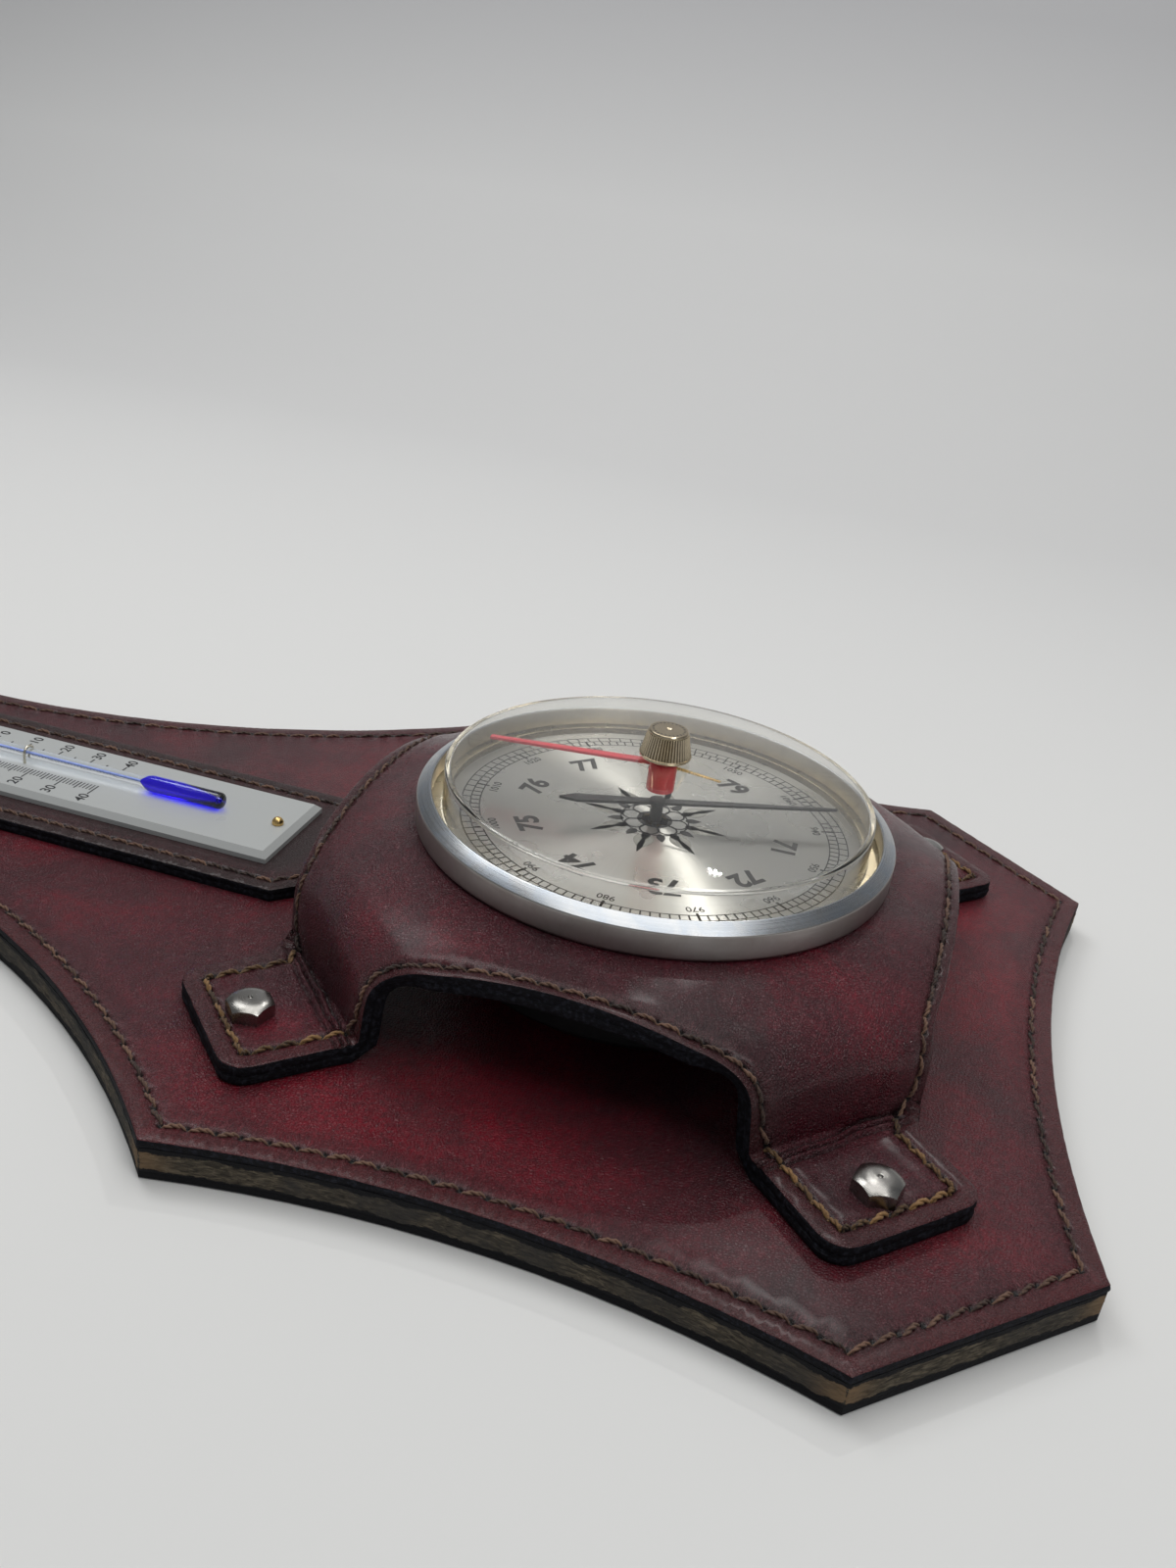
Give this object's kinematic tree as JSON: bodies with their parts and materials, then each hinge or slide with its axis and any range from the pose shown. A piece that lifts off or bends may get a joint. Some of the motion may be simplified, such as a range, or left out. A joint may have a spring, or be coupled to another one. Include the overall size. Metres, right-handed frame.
{
  "type": "barometer",
  "caption": "Wall barometer: round dial in a four-legged leather cover bolted to a leather-clad board, with a thermometer up the waisted neck.",
  "frame": {"origin": "on the dial's axis, in the plane of the board's back face", "axes": "+Z out of the dial towards the reader, +Y up the neck towards the hanging plate, +X to the reader's right"},
  "size_m": [0.2544, 0.4646, 0.0724],
  "materials": {
    "backing": "matt black split leather",
    "core": "raw brown-grey fibre, worn tan at the corners",
    "burgundy": "antiqued burgundy, satin",
    "zinc": "zinc plated",
    "lining": "matt black",
    "bolt_steel": "turned, satin",
    "pad": "brown-plum, satin",
    "plate_white": "white, gloss, printed",
    "tube_glass": "clear",
    "spirit": "dyed spirit",
    "wire": "drawn wire",
    "pin_brass": "polished",
    "bezel_metal": "turned, bright bevel",
    "crystal": "clear acrylic, slightly yellowed",
    "dial_silver": "sunray brushed, printed",
    "case_black": "black enamel",
    "works_brass": "satin",
    "capsule_metal": "corrugated, satin",
    "works_steel": "satin",
    "spring_steel": "blued",
    "hand_black": "black, satin",
    "hand_red": "translucent red",
    "knob_nickel": "nickel plated, knurled"
  },
  "bodies": {
    "frame": {"board_backing": "backing", "board_core": "core", "board_leather": "burgundy", "hanger_plate": "zinc", "hanger_screws": "zinc", "cover_leather": "burgundy", "cover_lining": "lining", "cover_bolts": "bolt_steel", "tee_nuts": "zinc", "pad_core": "lining", "pad_leather": "pad", "scale_plate": "plate_white", "thermometer_tube": "tube_glass", "thermometer_spirit": "spirit", "tube_clips": "wire", "plate_pins": "pin_brass", "bezel": "bezel_metal", "crystal": "crystal", "dial": "dial_silver", "case": "case_black", "case_screws": "zinc", "movement_plate": "works_brass", "capsule": "capsule_metal", "capsule_post": "works_steel", "main_spring": "spring_steel", "spring_screws": "works_steel", "pillars": "works_brass", "arbor_bridge": "works_brass", "arbor_cock": "works_brass", "bridge_screws": "works_steel", "rocker_bearings": "works_brass", "hairspring": "spring_steel", "lever_pin": "works_steel"},
    "reading": {"arbor": "works_steel", "reading_hand": "hand_black"},
    "setting": {"knob": "knob_nickel", "set_hand": "hand_red"},
    "rocker": {"rocker": "works_steel"},
    "lever": {"lever": "works_steel"},
    "chain": {"chain": "works_steel"},
    "adjuster": {"adjusting_screw": "works_brass"}
  },
  "joints": [
    {"name": "reading_turn", "type": "hinge", "parent": "frame", "child": "reading", "pos_m": [0, 0, 0.045], "axis": [0, 0, 1], "range_deg": [-320, 15]},
    {"name": "setting_turn", "type": "hinge", "parent": "frame", "child": "setting", "pos_m": [0, 0, 0.064], "axis": [0, 0, 1], "continuous": true},
    {"name": "rocker_tilt", "type": "hinge", "parent": "frame", "child": "rocker", "pos_m": [0.038, 0, 0.0301], "axis": [0, 1, 0], "range_deg": [-24.2, 1.3]},
    {"name": "lever_tilt", "type": "hinge", "parent": "frame", "child": "lever", "pos_m": [0.0115, 0, 0.02645], "axis": [0, 1, 0], "range_deg": [-0.4, 5.8]},
    {"name": "chain_slide", "type": "slide", "parent": "frame", "child": "chain", "axis": [1, 0, 0], "range_m": [-0.0046, 0.0003]},
    {"name": "adjuster_turn", "type": "hinge", "parent": "frame", "child": "adjuster", "pos_m": [-0.036, 0, 0.01], "axis": [0, 0, 1], "range_deg": [-180, 180]}
  ],
  "couplings": [
    {"joint": "rocker_tilt", "follows": "reading_turn", "ratio": 0.075},
    {"joint": "lever_tilt", "follows": "reading_turn", "ratio": -0.0175},
    {"joint": "chain_slide", "follows": "reading_turn", "m_per_rad": 0.0008}
  ]
}
